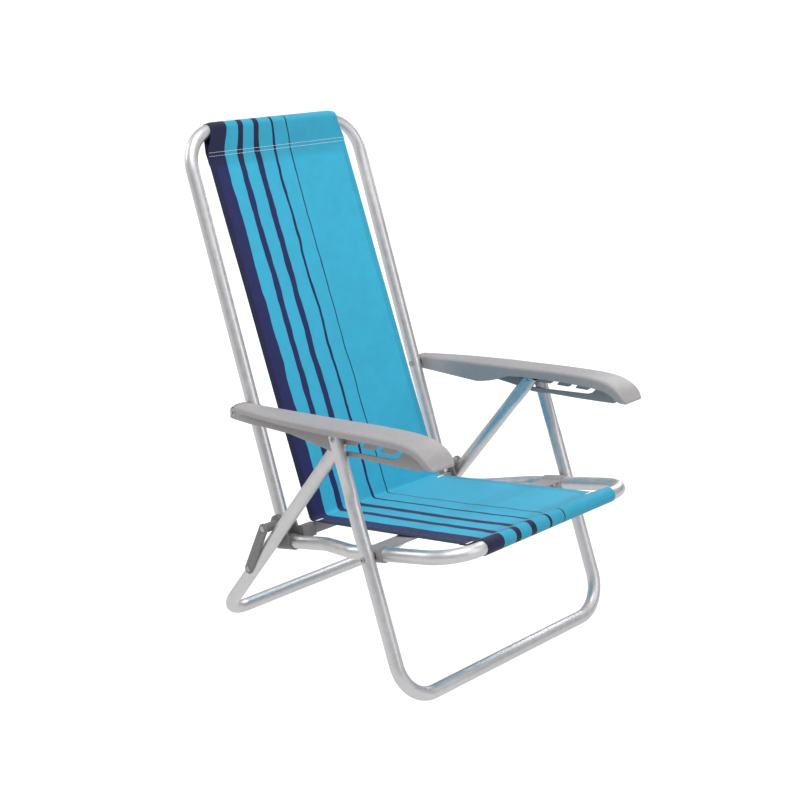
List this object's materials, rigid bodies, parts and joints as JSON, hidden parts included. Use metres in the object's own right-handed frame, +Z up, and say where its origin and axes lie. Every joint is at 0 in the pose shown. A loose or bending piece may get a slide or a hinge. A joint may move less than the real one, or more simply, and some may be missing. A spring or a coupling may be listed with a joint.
{
  "type": "folding beach chair",
  "caption": "Folding beach chair: bent tube frame, one-piece fabric sling with stripes, moulded armrests with recline notches, folding legs.",
  "frame": {"origin": "on the ground plane, midway between the two sides and midway front to back of the open chair", "axes": "+Z up, the sitter faces -Y, +X is the sitter's left; the hinge axes run along X"},
  "size_m": [0.528, 0.65, 0.8381],
  "materials": {
    "aluminium": "satin",
    "grey_plastic": "fine moulded texture",
    "rivet_steel": "bright",
    "sling_fabric": "coated woven polyester"
  },
  "bodies": {
    "seat": {"seat_frame": "aluminium", "rear_connector_left": "grey_plastic", "rear_connector_right": "grey_plastic", "rear_cross_bar": "grey_plastic", "seat_cross_strap": "grey_plastic", "seat_pivot_rivets": "rivet_steel", "seat_pivot_spacers": "rivet_steel", "sling_seat": "sling_fabric"},
    "front_legs": {"front_leg_frame": "aluminium", "top_pins_outer": "rivet_steel"},
    "rear_legs": {"rear_leg_frame": "aluminium", "top_pins_inner": "rivet_steel", "link_rivets_inner": "rivet_steel"},
    "link_left_body": {"link_left": "grey_plastic", "link_rivet_left": "rivet_steel"},
    "link_right_body": {"link_right": "grey_plastic", "link_rivet_right": "rivet_steel"},
    "back_hinge": {"back_hinge_pins": "rivet_steel"},
    "backrest": {"backrest_frame": "aluminium", "sling_back": "sling_fabric"},
    "armrest_pivots": {"armrest_rivets": "rivet_steel"},
    "armrest_slides": {"armrest_washers": "rivet_steel"},
    "armrest_left_body": {"armrest_left": "grey_plastic"},
    "armrest_right_body": {"armrest_right": "grey_plastic"}
  },
  "joints": [
    {"name": "fold", "type": "hinge", "parent": "seat", "child": "back_hinge", "pos_m": [0, 0.08398, 0.20494], "axis": [1, 0, 0], "range_deg": [0, 66]},
    {"name": "front_legs_fold", "type": "hinge", "parent": "seat", "child": "front_legs", "pos_m": [0, -0.16119, 0.22549], "axis": [1, 0, 0], "range_deg": [0, 72.5]},
    {"name": "rear_legs_fold", "type": "hinge", "parent": "front_legs", "child": "rear_legs", "pos_m": [0, -0.09365, 0.40052], "axis": [1, 0, 0], "range_deg": [-46.1, 0]},
    {"name": "link_left_fold", "type": "hinge", "parent": "seat", "child": "link_left_body", "pos_m": [0, 0.08398, 0.20494], "axis": [1, 0, 0], "range_deg": [-90.1, 0]},
    {"name": "link_right_fold", "type": "hinge", "parent": "seat", "child": "link_right_body", "pos_m": [0, 0.08398, 0.20494], "axis": [1, 0, 0], "range_deg": [-90.1, 0]},
    {"name": "recline", "type": "hinge", "parent": "back_hinge", "child": "backrest", "pos_m": [0, 0.08398, 0.20494], "axis": [-1, 0, 0], "range_deg": [0, 41.5]},
    {"name": "armrests_fold", "type": "hinge", "parent": "backrest", "child": "armrest_pivots", "pos_m": [0, 0.15128, 0.38786], "axis": [1, 0, 0], "range_deg": [-66, 0]},
    {"name": "armrests_recline", "type": "hinge", "parent": "armrest_pivots", "child": "armrest_slides", "pos_m": [0, 0.15128, 0.38786], "axis": [-1, 0, 0], "range_deg": [-28.2, 0]},
    {"name": "lift_left", "type": "hinge", "parent": "armrest_slides", "child": "armrest_left_body", "pos_m": [0, 0.15128, 0.38786], "axis": [-1, 0, 0], "range_deg": [0, 3]},
    {"name": "lift_right", "type": "hinge", "parent": "armrest_slides", "child": "armrest_right_body", "pos_m": [0, 0.15128, 0.38786], "axis": [-1, 0, 0], "range_deg": [0, 3]}
  ],
  "couplings": [
    {"joint": "rear_legs_fold", "follows": "fold", "ratio": -0.69029},
    {"joint": "link_left_fold", "follows": "fold", "ratio": -1.3577},
    {"joint": "link_right_fold", "follows": "fold", "ratio": -1.3577},
    {"joint": "front_legs_fold", "follows": "fold", "ratio": 1.0905},
    {"joint": "armrests_fold", "follows": "fold", "ratio": -0.99237},
    {"joint": "armrests_recline", "follows": "recline", "ratio": -0.667}
  ]
}
